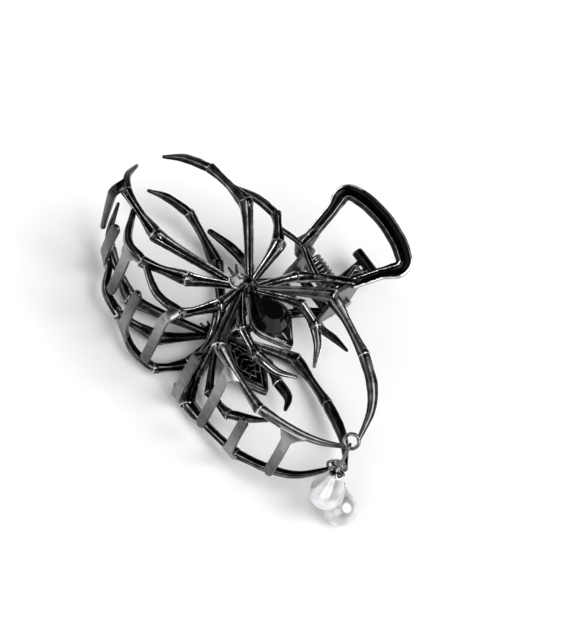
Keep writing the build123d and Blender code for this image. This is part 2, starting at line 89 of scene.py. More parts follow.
# Teeth
tooth_width = 3.0
tooth_thickness = 1.3
tooth_shoulder = 2.2
tooth_edge = 0.3  # radius of its edges
tooth_taper = 0.2  # how much thinner it is at its tip
tooth_web = 2.8  # how much wider it is at its root, on each side
tooth_web_reach = 4.8
tooth_bow = 0.45  # how far it bends out between its ends
tooth_crown = 0.25  # how much thicker it is in the middle of its width
tooth_shines = (0.95, 0.3)  # painted light at its root and at its tip: painted shade darkens the tip
tip_power = 2.4  # 2 makes a round tip, more makes it squarer
tip_least = 0.005  # share of the width that is left at the very tip
blade_from = 0.9  # half lengths beyond which a tooth is a narrow blade
blade_taper = 0.5
blade_curl = (0.9, 1.5, 0.0)  # how far its tip curls in along X and Y
rail_share = 0.7  # how much of a stretch runs along X where it is a rail

# Hinge
ear_thickness = 1.2
ear_bevel = 0.14
ear_radius = 2.7
ear_gap = 0.35
rear_ear_spacing = 15.2
ear_height = 10.4
ear_foot_radius = 1.2
ear_back = -4.5
ear_front = 2.6

# Torsion spring
pin_radius = 1.1
wire_radius = 0.5
coil_clearance = 0.9
coil_turns = 8
coil_pitch = 1.3
spring_foot = 4.6
spring_gap = 0.3
spring_elbow = 0.8  # how far from a corner of the wire its bend begins
coil_step = 12  # degrees

# Loop handle
handle_half_width = 14.6
handle_reach = 18.2
handle_root_out = 0.6
handle_band = 4.8
handle_thickness = 1.8
handle_flare = 15.0
handle_step = 0.35
bend_share = 0.48  # how much of a straight run one bend may take

# Rear lever
lever_reach = 20.0
lever_drop = 13.0
lever_half_bar = 5.0
lever_bar_reach = 1.3  # length of the flat-ended bar against a round-ended one
lever_bar_radius = 1.6
lever_arm_radius = 0.85
lever_stem_radius = 1.5
lever_fork_share = 0.52

# Drops
eyelet_radius = 2.0
eyelet_wire = 0.5
link_length = 8.0
link_wire = 0.42
cap_loop_radius = 1.1
cap_loop_wire = 0.38
link_gap = 0.2
cap_neck = 0.8
pearl_radius = 4.8
pearl_top_radius = 2.6
pearl_length = 12.8
cap_wall = 0.5
cap_gap = 0.05
cap_neck_radii = (0.5, 0.45, 0.5, 0.62, 0.76)
petals = 5
petal_tip_angle = 57.0  # degrees of the pearl's top down to a leaf's tip
petal_gap_angle = 30.0  # the same, between two leaves
petal_round = 1.6  # 1 makes a pointed leaf, more makes it rounder
petal_relief = 0.22  # how far a leaf's border stands out
pearl_crease, pearl_swell = 0.05, 0.02  # depths, as shares of its radius
pearl_creases, pearl_swells = 5, 2  # how many there are round it
crease_twist, swell_twist = 0.1, 0.5  # radians for each millimetre

front_ear_spacing = rear_ear_spacing + 2 * (ear_thickness + ear_gap)
front = 1
rear = -1

# The body of a spider.
# Columns: along (half lengths), down (jaw drops), out (jaw depths)
thorax_place = (-0.08, 0.515, 0.85)
head_place = (-0.122, 0.545, 0.89)
abdomen_place = (0.145, 0.515, 0.79)
thorn_places = ((-0.208, 0.55, 0.95), (-0.2, 0.51, 0.96))
eyelet_places = {front: (0.93, 0.522, 0.567), rear: (0.916, 0.469, 0.567)}
eyelet_lean = (0.25, 0.44, 0.86)

# How the drops lie.
# Columns: toward plus X, toward plus Y, up
front_drop_way = (0.233, -0.337, -0.912)
rear_hook_way = (-0.75, -0.6, 0.09)
rear_link_way = (0.245, 0.177, -0.953)
rear_pearl_heading = (0.88, -0.475, 0.0)

# One half of the loop handle, from its root to the middle of its end bar.
# Columns: across (handle half widths), reach (handle reaches), width (bands), bend (mm)
handle_route = (
    (0.61, 0.0, 0.7, 0.0),
    (0.765, 0.44, 0.72, 9.0),
    (0.965, 0.81, 0.95, 2.9),
    (0.52, 0.95, 1.0, 16.0),
    (0.0, 1.0, 1.0, 24.0),
)

# Limbs of a spider, each a row of stations from its root to its tip.
# Columns: along (half lengths), down (jaw drops), out (jaw depths),
# thick (limb radii), knuckle (1 where a raised knuckle stands, 0 in a bend)
limbs = {
    "upper_far_leg": (
        (-0.09, 0.49, 0.86, 0.8, 0),
        (-0.465, 0.27, 1.0, 1.68, 1),
        (-0.765, 0.262, 0.745, 1.25, 1),
        (-0.9, 0.325, 0.64, 0.95, 0),
        (-0.98, 0.4, 0.55, 0.4, 0),
    ),
    "upper_near_leg": (
        (-0.09, 0.46, 0.86, 0.75, 0),
        (-0.175, 0.268, 1.0, 1.68, 1),
        (-0.34, 0.155, 0.89, 1.25, 1),
        (-0.48, 0.175, 0.83, 0.95, 0),
        (-0.62, 0.228, 0.755, 0.4, 0),
    ),
    "outer_rail_leg": (
        (-0.13, 0.565, 0.86, 0.8, 0),
        (-0.555, 0.765, 1.0, 1.68, 1),
        (-0.88, 0.712, 0.75, 1.3, 1),
        (-0.97, 0.645, 0.665, 0.8, 0),
        (-1.01, 0.55, 0.555, 0.4, 0),
    ),
    "middle_rail_leg": (
        (-0.13, 0.59, 0.86, 0.8, 0),
        (-0.26, 0.77, 1.0, 1.68, 1),
        (-0.475, 0.89, 0.89, 1.35, 1),
        (-0.63, 0.878, 0.815, 1.0, 0),
        (-0.76, 0.762, 0.835, 0.7, 0),
    ),
    "inner_rail_leg": (
        (-0.085, 0.57, 0.86, 0.8, 0),
        (-0.05, 0.72, 1.0, 1.68, 1),
        (-0.12, 0.9, 0.945, 1.25, 1),
        (-0.28, 0.94, 0.92, 0.95, 0),
        (-0.46, 0.893, 0.89, 0.7, 0),
    ),
    "long_rail_leg": (
        (-0.06, 0.575, 0.86, 0.85, 0),
        (0.14, 0.848, 1.0, 1.68, 1),
        (0.53, 0.86, 0.845, 1.35, 1),
        (0.71, 0.772, 0.725, 1.0, 0),
        (0.84, 0.68, 0.65, 0.8, 0),
        (0.93, 0.56, 0.51, 0.5, 0),
    ),
    "upper_right_leg": (
        (-0.04, 0.48, 0.86, 0.8, 0),
        (0.22, 0.205, 1.0, 1.68, 1),
        (0.57, 0.23, 0.865, 1.35, 1),
        (0.735, 0.28, 0.78, 1.25, 0),
        (0.85, 0.355, 0.67, 0.95, 0),
        (0.945, 0.49, 0.6, 0.5, 0),
    ),
    "high_claw": (
        (-0.03, 0.5, 0.86, 0.7, 0),
        (0.16, 0.34, 0.86, 1.2, 1),
        (0.285, 0.33, 0.75, 1.3, 1),
        (0.38, 0.36, 0.64, 0.95, 0),
        (0.465, 0.43, 0.52, 0.4, 0),
    ),
    "low_claw": (
        (-0.05, 0.57, 0.86, 0.7, 0),
        (0.105, 0.672, 0.86, 1.2, 1),
        (0.25, 0.675, 0.72, 1.3, 1),
        (0.38, 0.63, 0.61, 0.85, 0),
        (0.465, 0.545, 0.52, 0.4, 0),
    ),
    "knee_claw": (
        (-0.05, 0.72, 1.0, 1.0, 0),
        (0.055, 0.82, 0.81, 0.85, 0),
        (0.09, 0.9, 0.7, 0.4, 0),
    ),
    "hinge_strut": (
        (-0.05, 0.49, 0.86, 0.85, 0),
        (-0.005, 0.25, 0.695, 1.25, 1),
        (0.06, 0.125, 0.585, 1.1, 0),
        (0.178, 0.0, 0.6, 1.2, 0),
    ),
    "side_strut": (
        (-0.275, 0.195, 0.925, 0.7, 0),
        (-0.15, 0.1, 0.63, 0.7, 0),
        (-0.045, 0.11, 0.56, 0.75, 0),
        (0.05, 0.135, 0.595, 0.75, 0),
    ),
    "ear_strut": (
        (-0.15, 0.1, 0.63, 0.95, 0),
        (-0.178, 0.0, 0.6, 1.2, 0),
    ),
}

# Where the rear spider's limbs lie otherwise: first columns of their stations
rear_stations = {
    "upper_near_leg": ((), (), (), (-0.48, 0.175, 0.83, 1.1), (-0.62, 0.228, 0.755, 0.7)),
    "outer_rail_leg": ((), (-0.535, 0.77), (-0.81, 0.735), (-0.9, 0.69), (-1.0, 0.58)),
    "long_rail_leg": (
        (), (0.14, 0.86), (0.53, 0.84), (0.705, 0.768), (0.83, 0.67), (0.916, 0.507),
    ),
    "upper_right_leg": (
        (), (0.234, 0.242), (0.546, 0.268), (0.696, 0.305), (0.817, 0.36), (0.931, 0.437),
    ),
    "high_claw": (
        (), (0.19, 0.4), (0.32, 0.44, 0.72), (0.43, 0.455, 0.66), (0.49, 0.52, 0.58, 0.45),
    ),
    "low_claw": ((), (0.16, 0.75), (0.33, 0.765), (0.43, 0.7), (0.495, 0.645)),
    "hinge_strut": ((), (), (), (0.14, 0.0, 0.6, 1.1)),
}
rear_limbs = {
    label: tuple(new + row[len(new):]
                 for new, row in zip(rear_stations.get(label, ((),) * len(rows)), rows))
    for label, rows in limbs.items()
}
rear_limbs["hinge_claw"] = (
    (0.12, 0.065, 0.592, 0.95, 0),
    (0.19, 0.078, 0.64, 0.9, 0),
    (0.28, 0.05, 0.66, 0.85, 0),
    (0.373, 0.038, 0.64, 0.4, 0),
)

# Teeth of each jaw.
# Columns: along (half lengths), down (jaw drops), root_down (jaw drops),
# root_out and tip_out (jaw depths)
front_teeth = (
    (-0.93, 0.77, 0.685, 0.725, -0.46),
    (-0.57, 0.925, 0.885, 0.845, -0.45),
    (-0.14, 1.0, 0.905, 0.945, -0.45),
    (0.305, 0.925, 0.855, 0.935, -0.72),
    (0.74, 0.805, 0.76, 0.71, -0.6),
)
rear_teeth = (
    (-0.8, 0.785, 0.75, 0.8, -0.22),
    (-0.4, 0.925, 0.91, 0.9, -0.34),
    (0.085, 0.905, 0.85, 0.985, -0.55),
    (0.505, 0.87, 0.835, 0.86, -0.3),
)

# Half sections, from the middle of the outward side to that of the inward side.
# Columns: angle (degrees), radius (shares) and painted light (0 for painted shade in a recess,
# 1 for a painted highlight on a ridge) of a bone or bar, radius and painted light of a claw
limb_section = (
    (0, 0.58, 0.0, 1.04, 1.0), (11, 0.66, 0.05, 0.96, 0.3), (20, 0.93, 0.55, 0.92, 0.1),
    (27, 1.02, 1.0, 0.91, 0.1), (36, 1.0, 0.55, 0.94, 0.2), (52, 0.98, 0.15, 1.0, 0.75),
    (74, 0.98, 0.1, 0.96, 0.15), (90, 1.03, 0.9, 1.03, 0.85), (104, 0.98, 0.2, 0.97, 0.2),
    (128, 0.96, 0.1, 0.95, 0.1), (150, 1.0, 0.7, 0.97, 0.3), (165, 0.86, 0.1, 0.96, 0.2),
    (180, 0.84, 0.05, 0.98, 0.5),
)
round_section = tuple((15 * i, 1.0, 0.5, 1.0, 0.5) for i in range(13))

# Section of the raised cup in which a bone ends, a closed loop.
# Columns: along (knuckle radii), radius (knuckle radii), painted light (painted highlight round its
# rim, painted shade below)
cup_section = (
    (-0.75, 0.8, 0.1), (0.16, 0.76, 0.0), (0.28, 0.82, 0.5), (0.36, 0.9, 1.0), (0.33, 0.97, 1.0),
    (0.22, 1.0, 0.6), (0.02, 0.99, 0.35), (-0.3, 0.93, 0.3),
)
cup_lip = 0.4  # how far the cup's outer corner stands forward, in knuckle radii
next_bone = 0.78  # a bone's start against its first knuckle
flare_reach = 2.6  # how far before its cup it widens, in knuckle radii
flare_end = 0.97  # a bone's end inside its cup, in knuckle radii
flare_curve = 1.4
waist = 0.2  # how much thinner a bone is between two knuckles
bulb = 0.3  # how much thicker it is just past its first knuckle
bulb_reach = 3.6  # how far that reaches, in knuckle radii
bulb_lean = 0.6  # below 1, it is thickest near its start
claw_bulb = 0.5  # the share of it that a claw has
claw_swell = 0.07  # how much thicker a claw is halfway
claw_change = 0.3  # share of a claw in which its section changes
grain_depth = 0.012  # unevenness of a bone, as a share of its radius
claw_grain = 0.4  # the share of it that a claw has
bone_sunk = 0.35  # how deep in its knuckle a bone starts, in knuckle radii
turn_share = 0.3  # how much of a bend a bone takes before its knuckle
ring_step = 0.4  # millimetres between the rings of a limb
dome = (86, 60, 30)  # degrees of the rings that close a round end
inside_along = 0.45  # a limb faces away from here: share of its own place along the jaw
inside_down = 0.5  # and jaw drops
pale_limbs = ("long_rail_leg", "upper_right_leg")  # of the front spider

# Points and rings of the finer forms
cup_sides = 28
lathe_sides = 40
wire_sides = 12
outline_points = 96
tooth_rings = 14
turn_rings = 8  # of a tooth's shoulder, and of its tip
thorax_rings = 14
pearl_rings, pearl_sides = 60, 64
cap_rings, cap_sides = 12, 96

# Levels of painted light of the plain forms, even over each but the thorax, where it lights the
# ribs
wire_shine = 0.7
ear_shine = 0.6
thorax_shine = 0.6
thorn_shine = 0.4
lever_shine = 0.3

# Raised rims in the hollow back of a bezel.
# Columns: share of the way to its middle, radius (mm)
hollow_rims = ((0.12, 0.26), (0.42, 0.2))
# Scrolls in the same hollow.
# Columns: place along it (mm), reach across (mm), sweep toward its tail (mm)
hollow_scrolls = (
    (-5.6, 1.3, 0.5), (-3.4, 2.3, 1.4), (-1.7, 1.5, 1.9), (0.6, 2.9, 1.2), (2.2, 1.3, 1.8),
)
# Ribs from the front of a bezel to the end of its tail.
# Columns: across at the front (mm), across at the end (mm)
tail_ribs = ((-2.6, -0.2), (0.0, 0.0), (2.6, 0.2))

CAST, SATIN = 0, 1  # material slots of the cast metal

# Surfaces: cells of their patterns for each metre, and their strength
cloud_scale = 420.0
cloud_shine = 0.16  # how far clouding shifts the painted light of a point
grain_scale = 900.0
relief_depth = 0.0001  # metres
cell_scale = 1500.0
pearl_cloud_scale = 220.0


def at(place, side):
    """A point of a jaw from its three shares, from the hinge, in millimetres."""
    along, down, out = place[:3]
    return Vector((along * half_length, -down * jaw_drop, side * out * jaw_depth))


def smooth(edge0, edge1, x):
    """Smooth step from 0 to 1."""
    t = min(1, max(0, (x - edge0) / (edge1 - edge0)))
    return t * t * (3 - 2 * t)


def mix(a, b, share):
    """A value between two others."""
    return a + (b - a) * share


def around(way):
    """Two directions across a way."""
    first = way.orthogonal().normalized()
    return first, way.cross(first)


def spokes(first, second, count):
    """Even angles of a turn, each with its direction between two others."""
    angles = [2 * pi * i / count for i in range(count)]
    return [(a, first * cos(a) + second * sin(a)) for a in angles]


def add(name, data):
    """A new object in the scene."""
    piece = bpy.data.objects.new(name, data)
    bpy.context.scene.collection.objects.link(piece)
    return piece


class Cast:
    """Closed shells that become one mesh, with a painted light value for each point: painted
    highlights and painted shade for the base colour.
    """

    def __init__(self):
        self.points, self.shine, self.faces, self.finish = [], [], [], []

    def shell(self, rings, finish=CAST, closed=False):
        """Rings of (point, painted light) rows joined into a shell, capped at its ends or closed.
        """
        base = len(self.points)
        count = len(rings[0])
        for ring in rings:
            for point, shine in ring:
                self.points.append(point)
                self.shine.append(shine)
        pairs = len(rings) if closed else len(rings) - 1
        for k in range(pairs):
            a = base + k * count
            b = base + (k + 1) % len(rings) * count
            for i in range(count):
                j = (i + 1) % count
                self.faces.append((a + i, a + j, b + j, b + i))
        if not closed:
            for start in (base, base + pairs * count):
                self.faces.append(tuple(range(start, start + count)))
        self.finish += [finish] * (len(self.faces) - len(self.finish))

    def build(self, name, materials, sharp=38):
        """The mesh object, kept inside the solids' box."""
        mesh = bpy.data.meshes.new(name)
        low, high = cad_box
        placed = [[min(max(value, a), b) for value, a, b in zip(hinge + point * mm, low, high)]
                  for point in self.points]
        mesh.from_pydata(placed, [], self.faces)
        # Painted light for each point; the metal's base colour follows it as painted highlights and
        # painted shade
        mesh.attributes.new("shine", "FLOAT", "POINT").data.foreach_set("value", self.shine)
        mesh.polygons.foreach_set("material_index", self.finish)
        for material in materials:
            mesh.materials.append(material)
        work = bmesh.new()
        work.from_mesh(mesh)
        bmesh.ops.recalc_face_normals(work, faces=work.faces)
        for face in work.faces:
            face.smooth = True
        for edge in work.edges:
            edge.smooth = edge.calc_face_angle(0) < radians(sharp)
        work.to_mesh(mesh)
        work.free()
        return add(name, mesh)


def spline(points, before, after):
    """A curve through points, heading for those before and after its ends."""
    before = before or 2 * points[0] - points[1]
    after = after or 2 * points[-1] - points[-2]
    ends = [before] + points + [after]
    result = []
    for a, b, c, d in zip(ends, ends[1:], ends[2:], ends[3:]):
        count = max(2, round((c - b).length / ring_step))
        for i in range(count):
            t = i / count
            result.append(0.5 * (2 * b + (c - a) * t + (2 * a - 5 * b + 4 * c - d) * t * t
                                 + (3 * b - a - 3 * c + d) * t ** 3))
    return result + [points[-1]]


def lengths(points):
    """Distance along a line of points to each of them."""
    total = [0.0]
    for a, b in zip(points, points[1:]):
        total.append(total[-1] + (b - a).length)
    return total


def tangents(points):
    """Direction of a line of points at each of them."""
    last = len(points) - 1
    return [(points[min(i + 1, last)] - points[max(i - 1, 0)]).normalized()
            for i in range(last + 1)]


def section(profile, centre, way, up, radius, share):
    """A ring of (point, painted light) rows from a mirrored half section, a bone's mixed with a
    claw's.
    """
    lateral = way.cross(up)
    rows = [(angle, mix(bone, claw, share), mix(bone_shine, claw_shine, share))
            for angle, bone, bone_shine, claw, claw_shine in profile]
    ring = []
    for sign, half in ((1, rows), (-1, rows[-2:0:-1])):
        for angle, r, shine in half:
            a = radians(angle) * sign
            ring.append((centre + (up * cos(a) + lateral * sin(a)) * (r * radius), shine))
    return ring


def rod(cast, points, radii, profile=round_section, shine=None, ups=None, shares=None,
        blunt=1.0, finish=CAST):
    """A bar with domed ends along a line: round, or with a section that changes along it."""
    ways = tangents(points)
    up = Vector((0, 0, 1)) if abs(ways[0].z) < 0.9 else x_way
    last = len(points) - 1
    ends = [(blunt * sin(radians(a)), cos(radians(a)) ** blunt) for a in dome]
    stations = [(0, -ahead, share) for ahead, share in ends]
    stations += [(i, 0, 1) for i in range(last + 1)]
    stations += [(last, ahead, share) for ahead, share in reversed(ends)]
    rings = []
    for i, ahead, share in stations:
        way = ways[i]
        up = ups[i] if ups else up
        up = (up - way * up.dot(way)).normalized()
        centre = points[i] + way * (ahead * radii[i])
        rings.append(section(profile, centre, way, up, radii[i] * share,
                             shares[i] if shares else 0.0))
    if shine is not None:
        rings = [[(point, shine) for point, _ in ring] for ring in rings]
    cast.shell(rings, finish)


def taper(cast, first, last, radii, count, shine, blunt=1.0):
    """A straight round bar from one point and radius to another."""
    steps = [i / count for i in range(count + 1)]
    rod(cast, [first.lerp(last, t) for t in steps], [mix(*radii, t) for t in steps],
        shine=shine, blunt=blunt)


def outward(point, way):
    """Direction across a limb that faces away from the inside of the jaw."""
    inside = Vector((inside_along * point.x, -inside_down * jaw_drop, 0))
    away = point - inside
    return (away - way * away.dot(way)).normalized()


def beyond(knuckle, inner, outer):
    """A point past a knuckle, on a way that takes some of its bend."""
    on = (knuckle - inner).normalized()
    turned = (outer - knuckle).normalized()
    return knuckle + mix(on, turned, turn_share).normalized() * (knuckle - inner).length


def cup(cast, centre, way, outer, radius):
    """The raised rim that a bone ends in, forward on the outer side of its bend."""
    first = (outer - way * outer.dot(way)).normalized()
    foremost = max(along for along, _, _ in cup_section)
    rings = []
    for along, share, shine in cup_section:
        ring = []
        for a, radial in spokes(first, way.cross(first), cup_sides):
            lip = cup_lip * max(0, cos(a)) ** 2 * max(0, along / foremost)
            ring.append((centre + (way * (along + lip) + radial * share) * radius, shine))
        rings.append(ring)
    cast.shell(rings, closed=True)


def leg_run(cast, places, rows, before, after, claw, finish):
    """A stretch of a limb, from its root or a knuckle to the next or its tip."""
    start = beyond(places[0], places[1], before) if before else None
    end = beyond(places[-1], places[-2], after) if after else None
    points = spline(places, start, end)
    total = lengths(points)
    marks = [total[min(range(len(points)), key=lambda i: (points[i] - place).length)]
             for place in places]
    knuckles = [row[3] * limb_radius for row in rows]
    sizes = list(knuckles)
    if before:
        sizes[0] *= next_bone
    if after:
        sizes[-1] *= neck_share
    radii, shares = [], []
    for i, s in enumerate(total):
        k = max(j for j in range(len(marks) - 1) if marks[j] <= s + 1e-6)
        radius = mix(sizes[k], sizes[k + 1], (s - marks[k]) / (marks[k + 1] - marks[k]))
        if before and after:
            radius *= 1 - waist * sin(pi * s / total[-1])
        if before:
            far = min(1, s / (bulb_reach * knuckles[0])) ** bulb_lean
            radius *= 1 + bulb * sin(pi * far) * (claw_bulb if claw else 1)
        if after:
            near = max(0, 1 - (total[-1] - s) / (flare_reach * knuckles[-1]))
            radius += (flare_end * knuckles[-1] - sizes[-1]) * near ** flare_curve
        if claw:
            radius *= 1 + claw_swell * sin(pi * s / total[-1])
        shares.append(smooth(0, claw_change, s / total[-1]) if claw else 0.0)
        grain = sin(2.3 * s + 7 * places[0].x) + sin(5.1 * s + 3 * places[0].y)
        radii.append(radius * (1 + grain_depth * grain * mix(1, claw_grain, shares[-1])))
    ways = tangents(points)
    ups = [outward(point, way) for point, way in zip(points, ways)]
    if before:
        points[0] = points[0] - ways[0] * (bone_sunk * knuckles[0])
    rod(cast, points, radii, limb_section, ups=ups, shares=shares, finish=finish)
    if after:
        bend = (places[-1] - places[-2]).normalized() - (after - places[-1]).normalized()
        cup(cast, points[-1], ways[-1], bend, knuckles[-1])


def limb(cast, stations, side, claw, finish):
    """A leg, claw or strut, in stretches between its knuckles."""
    places = [at(row, side) for row in stations]
    last = len(stations) - 1
    breaks = [0] + [i for i, row in enumerate(stations) if row[4] and 0 < i < last] + [last]
    for a, b in zip(breaks, breaks[1:]):
        leg_run(cast, places[a:b + 1], stations[a:b + 1], places[a - 1] if a else None,
                places[b + 1] if b < last else None, claw and b == last, finish)


def rail_run(shapes, point, side):
    """How the rail past a point runs, for each millimetre along X."""
    best, run = None, x_way
    for stations in shapes.values():
        places = [at(row, side) for row in stations]
        for a, b in zip(places, places[1:]):
            way = b - a
            share = min(1, max(0, (point - a).dot(way) / way.length_squared))
            gap = (point - a - way * share).length
            if abs(way.x) > rail_share * way.length and (best is None or gap < best):
                best, run = gap, way / way.x
    return run


def tooth(cast, row, side, shapes):
    """A flat tooth that widens into its rail over a shoulder, with a round tip."""
    along, down, root_down, root_out, tip_out = row
    x = along * half_length
    root = Vector((x, -root_down * jaw_drop, side * root_out * jaw_depth))
    shoulder = Vector((x, -down * jaw_drop, root.z))
    tip = Vector((x, -down * jaw_drop, side * tip_out * jaw_depth))
    reach = (shoulder - root).length
    blade = abs(along) > blade_from
    web = tooth_web if reach < tooth_web_reach and not blade else 0.0
    route = [shoulder]
    if reach > tooth_thickness:
        radius = min(tooth_shoulder, 0.8 * reach)
        centre = shoulder + (root - shoulder).normalized() * radius - Vector((0, 0, side * radius))
        turns = [pi / 2 * i / turn_rings for i in range(turn_rings + 1)]
        route = [root] + [centre + Vector((0, -radius * sin(a), side * radius * cos(a)))
                          for a in turns]
    begin = route[-1]
    straight = 1 - tooth_width / 2 / (tip - begin).length
    marks = [straight * i / tooth_rings for i in range(1, tooth_rings + 1)]
    marks += [straight + (1 - straight) * sin(pi / 2 * i / turn_rings)
              for i in range(1, turn_rings + 1)]
    route += [begin.lerp(tip, mark) for mark in marks]
    total = lengths(route)
    slant = rail_run(shapes, shoulder, side) - x_way
    root_shine, tip_shine = tooth_shines
    rings = []
    for point, way, s in zip(route, tangents(route), total):
        across = x_way.cross(way)
        left = total[-1] - s
        share = s / total[-1]
        near = max(0, 1 - s / tooth_web_reach) if web else 0.0
        half = tooth_width / 2 * (1 - blade_taper * blade * share) + web * near ** 2
        bow = across * (tooth_bow * sin(pi * share))
        point = point + bow + Vector(blade_curl) * (blade * share * share)
        # Painted shade: the tooth darkens from its root toward its tip
        shine = mix(tip_shine if blade else root_shine, tip_shine, smooth(0.1, 0.95, share))
        if left < half:
            half *= mix(tip_least, 1, sqrt(max(0.0, 1 - (1 - left / half) ** tip_power)))
        thick = tooth_thickness / 2 * (1 - tooth_taper * share)
        round_over = min(tooth_edge, half * 0.6)
        ring = []
        for sx, sy in ((1, 1), (-1, 1), (-1, -1), (1, -1)):
            for q in range(3):
                a = atan2(sy, sx) + pi / 4 * (q - 1)
                u = sx * (half - round_over) + round_over * cos(a)
                v = sy * (thick - round_over) + round_over * sin(a)
                v *= 1 + tooth_crown * (1 - (u / half) ** 2)
                ring.append((point + x_way * u + across * v + slant * (u * near), shine))
        rings.append(ring)
    cast.shell(rings, CAST if blade else SATIN)


def hull(points):
    """Corners of the convex outline round some points, counterclockwise."""
    return [points[i] for i in convex_hull_2d(points)]


def circle(x, y, radius, count):
    """Points on a circle."""
    turns = [2 * pi * i / count for i in range(count)]
    return [(x + radius * cos(a), y + radius * sin(a)) for a in turns]


def inset(outline, distance):
    """An outline that runs counterclockwise, moved inward by about a distance."""
    moved = []
    for i, corner in enumerate(outline):
        along = Vector(outline[(i + 1) % len(outline)]) - Vector(outline[i - 1])
        normal = Vector((-along.y, along.x)).normalized()
        moved.append(tuple(Vector(corner) + normal * distance))
    return moved


def plate(cast, outline, place, low, high, bevel, shine, finish):
    """A plate with bevelled edges: place(x, y, z) gives each point."""
    rings = []
    for z, back in ((low, bevel), (low + bevel, 0), (high - bevel, 0), (high, bevel)):
        rings.append([(place(x, y, z), shine) for x, y in inset(outline, back)])
    cast.shell(rings, finish)


def ears(cast, spacing, side):
    """The two flat ears of a jaw."""
    for hand in (1, -1):
        points = circle(0, 0, ear_radius, 28)
        for y in (ear_back, ear_front):
            points += circle(y, side * ear_height, ear_foot_radius, 16)
        x = hand * spacing / 2
        plate(cast, hull(points), lambda u, v, w: Vector((x + w, u, v)),
              -ear_thickness / 2, ear_thickness / 2, ear_bevel, ear_shine, SATIN)


def lathe(cast, origin, axis, rows):
    """A closed ring turned round an axis from a loop of (radius, height, painted light) rows."""
    axis = axis.normalized()
    cast.shell([[(origin + radial * r + axis * h, shine) for r, h, shine in rows]
                for _, radial in spokes(*around(axis), lathe_sides)], closed=True)


def wire_ring(cast, centre, normal, major, minor):
    """A ring of round wire."""
    turns = circle(major, 0, minor, wire_sides)
    lathe(cast, centre, normal, [(r, h, wire_shine) for r, h in turns])


def radial_outline(points, centre, count):
    """An outline read at even angles round a centre."""
    result = []
    for way in map(Vector, circle(0, 0, 1, count)):
        best = 0
        for p, q in zip(points, points[1:] + points[:1]):
            p, q = Vector(p) - Vector(centre), Vector(q) - Vector(centre)
            edge = q - p
            cross = way.x * edge.y - way.y * edge.x
            if abs(cross) < 1e-9:
                continue
            t = (p.x * edge.y - p.y * edge.x) / cross
            u = (p.x * way.y - p.y * way.x) / cross
            if t > 0 and -1e-6 <= u <= 1 + 1e-6:
                best = max(best, t)
        result.append((centre[0] + way.x * best, centre[1] + way.y * best))
    return result


def head_cup(cast, side):
    """The cup of the head stone."""
    inner = head_stone_radius + stone_gap
    outer = inner + setting_rim
    top = girdle_share * head_stone_height
    # Its rows carry painted highlights on the rim's edges and painted shade in the groove under it
    lathe(cast, at(head_place, side), Vector((0, 0, side)), (
        (inner, -setting_depth, 0.2), (inner, top - 0.1, 0.3), (inner + 0.15, top, 1.0),
        (outer - 0.25, top, 1.0), (outer, top - 0.2, 0.8), (outer, top - 0.5, 0.3),
        (outer * 0.88, top - 0.8, 0.0), (outer, -0.4, 0.7), (outer * 0.9, -setting_depth, 0.3),
    ))


def bezel(cast, side):
    """The bezel of the abdomen stone, with its tail and its hollow back."""
    place = at(abdomen_place, side)
    spacing = pear_length - pear_radius - pear_tip_radius

    def seat(x, y, z):
        return place + Vector((x, y, side * z))

    middle = (-0.3 * pear_radius, 0.0)
    outlines = []
    for more, tail in ((stone_gap, 0), (stone_gap + setting_rim, 1), (-hollow_inset, 1)):
        less = min(0, more)
        shape = circle(0, 0, pear_radius + more, 48)
        shape += circle(-spacing, 0, pear_tip_radius + max(more, -0.5), 24)
        if tail:
            shape += circle(tail_length - setting_rim + less, 0, setting_rim + less / 2, 16)
        outlines.append(radial_outline(hull(shape), middle, outline_points))
    hollow, rim, back = outlines
    top = girdle_share * pear_height
    # Columns: outline, how far inside it (mm), height (mm), painted light (painted highlights on
    # its edges, painted shade in its recesses)
    loops = (
        (hollow, 0, -0.3, 0.1), (hollow, 0, top - 0.12, 0.4), (hollow, -0.1, top, 0.9),
        (rim, 0.2, top, 0.5), (rim, 0, top - 0.2, 0.9), (rim, 0.02, 0.45, 0.1),
        (rim, 0.25, 0.15, 0.0), (rim, 0, -0.15, 0.8), (rim, 0.1, -setting_depth + 0.2, 0.3),
        (rim, 0.3, -setting_depth, 0.9), (back, 0, -setting_depth, 0.7), (back, 0.2, -0.9, 0.0),
        (back, 0.4, -0.3, 0.0),
    )
    cast.shell([[(seat(x, y, z), shine) for x, y in (inset(loop, within) if within else loop)]
                for loop, within, z, shine in loops], closed=True)
    # The hollow's floor gets painted shade; its rims and scrolls get lighter painted highlights
    plate(cast, back, seat, -hollow_floor, -0.1, 0.1, 0.0, CAST)
    for share, thick in hollow_rims:
        loop = [(mix(x, middle[0], share), mix(y, middle[1], share)) for x, y in back]
        line = [seat(x, y, -0.85) for x, y in loop[::3]]
        line.append(line[0])
        rod(cast, line, [thick * (0.8 + 0.35 * sin(2.7 * i)) for i in range(len(line))], shine=0.75)
    for x, reach, sweep in hollow_scrolls:
        for hand in (1, -1):
            line = [seat(x + sweep * t * t + 0.35 * sin(5 * t), hand * (0.3 + reach * t), -0.95)
                    for t in (0, 0.2, 0.4, 0.6, 0.8, 1)]
            rod(cast, line, scroll_radii, shine=0.45)
    ridge = pear_radius + stone_gap + setting_rim
    end = tail_length - setting_rim
    # Painted highlight along the tail's ribs
    for first, last in tail_ribs:
        taper(cast, seat(ridge - 0.3, first, top - 0.1), seat(end, last, top - 0.25),
              (0.3, 0.18), 1, 1.0)


def thorns(cast, side):
    """The two short fangs of the head."""
    for place in thorn_places:
        taper(cast, at(head_place, side), at(place, side), thorn_radii, 8, thorn_shine)


